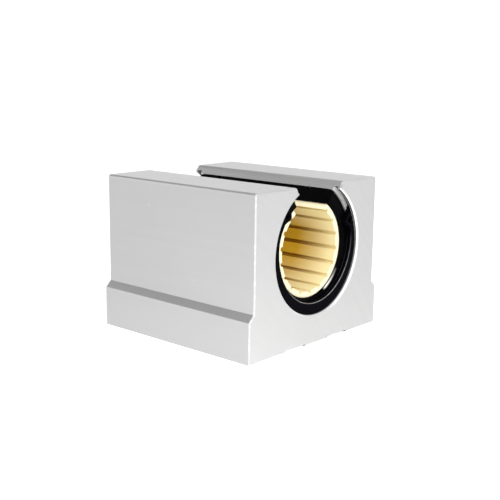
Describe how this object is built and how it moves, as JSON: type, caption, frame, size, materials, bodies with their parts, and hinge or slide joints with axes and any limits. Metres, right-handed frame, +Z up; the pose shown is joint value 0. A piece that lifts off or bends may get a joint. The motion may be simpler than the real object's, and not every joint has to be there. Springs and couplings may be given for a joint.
{
  "type": "linear bearing block",
  "caption": "Open linear plain-bearing pillow block: slotted aluminium housing holding an open sleeve and grooved polymer liner for a shaft on a support rail.",
  "frame": {"origin": "middle of the mounting face, under the middle of the bore", "axes": "+X across the block towards the flank with the locating screw, +Y along the bore towards the rear end, +Z up from the mounting face through the slot"},
  "size_m": [0.071, 0.07, 0.055],
  "materials": {
    "housing": "clear anodised extrusion, sawn ends",
    "bearing_sleeve": "black anodised, turned",
    "bearing_liner": "moulded, satin",
    "circlip": "phosphated and oiled",
    "locating_screw": "black oxide"
  },
  "bodies": {
    "root": {"housing": "housing", "bearing_sleeve": "bearing_sleeve", "bearing_liner": "bearing_liner", "front_circlip": "circlip", "rear_circlip": "circlip", "locating_screw": "locating_screw"}
  },
  "joints": []
}
